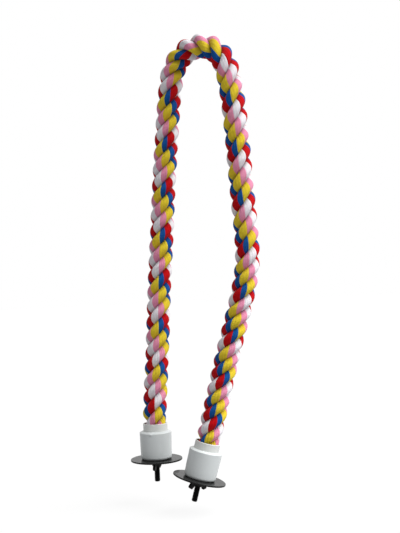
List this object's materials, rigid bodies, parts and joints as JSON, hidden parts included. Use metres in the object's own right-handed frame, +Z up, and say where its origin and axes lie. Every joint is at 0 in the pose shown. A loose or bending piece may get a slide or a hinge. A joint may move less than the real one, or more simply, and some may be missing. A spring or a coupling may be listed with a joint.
{
  "type": "rope bird perch",
  "caption": "Bendable three-strand cotton rope perch on a wire core, bent into a tall loop, with a capped bolt, wide washer and wing nut at each end for fixing to cage bars.",
  "frame": {"origin": "middle of the left end cap's clamping face, where the left bolt leaves it", "axes": "-Z along the left bolt, away from the cap, so +Z runs up the loop; +X across to the front leg, which stands on the -Y side"},
  "size_m": [0.1488, 0.104, 0.4986],
  "materials": {
    "cotton_yarn": "matt yarn in red, white, pink, yellow and blue",
    "steel_wire": "drawn",
    "white_pipe": "satin",
    "white_cap": "satin moulded",
    "black_bolt": "black oxide",
    "glue": "set resin",
    "black_washer": "satin black",
    "black_nut": "cast, black"
  },
  "bodies": {
    "root": {"strand_a": "cotton_yarn", "strand_b": "cotton_yarn", "strand_c": "cotton_yarn", "core_wire": "steel_wire", "left_sleeve": "white_pipe", "left_cap": "white_cap", "left_bolt": "black_bolt", "left_glue": "glue", "right_sleeve": "white_pipe", "right_cap": "white_cap", "right_bolt": "black_bolt", "right_glue": "glue"},
    "left_washer_body": {"left_washer": "black_washer"},
    "left_nut_body": {"left_wing_nut": "black_nut"},
    "right_washer_body": {"right_washer": "black_washer"},
    "right_nut_body": {"right_wing_nut": "black_nut"}
  },
  "joints": [
    {"name": "left_washer_slide", "type": "slide", "parent": "root", "child": "left_washer_body", "axis": [0, 0, -1], "range_m": [0, 0.02032]},
    {"name": "left_nut_turn", "type": "hinge", "parent": "left_washer_body", "child": "left_nut_body", "pos_m": [0, 0, -0.0017], "axis": [0, 0, -1], "range_deg": [0, 5760]},
    {"name": "right_washer_slide", "type": "slide", "parent": "root", "child": "right_washer_body", "axis": [-0.2672, 0, -0.9636], "range_m": [0, 0.02032]},
    {"name": "right_nut_turn", "type": "hinge", "parent": "right_washer_body", "child": "right_nut_body", "pos_m": [0.04655, -0.047, -0.01514], "axis": [-0.2672, 0, -0.9636], "range_deg": [0, 5760]}
  ],
  "couplings": [
    {"joint": "left_nut_turn", "follows": "left_washer_slide", "rad_per_m": 4947.4},
    {"joint": "right_nut_turn", "follows": "right_washer_slide", "rad_per_m": 4947.4}
  ]
}
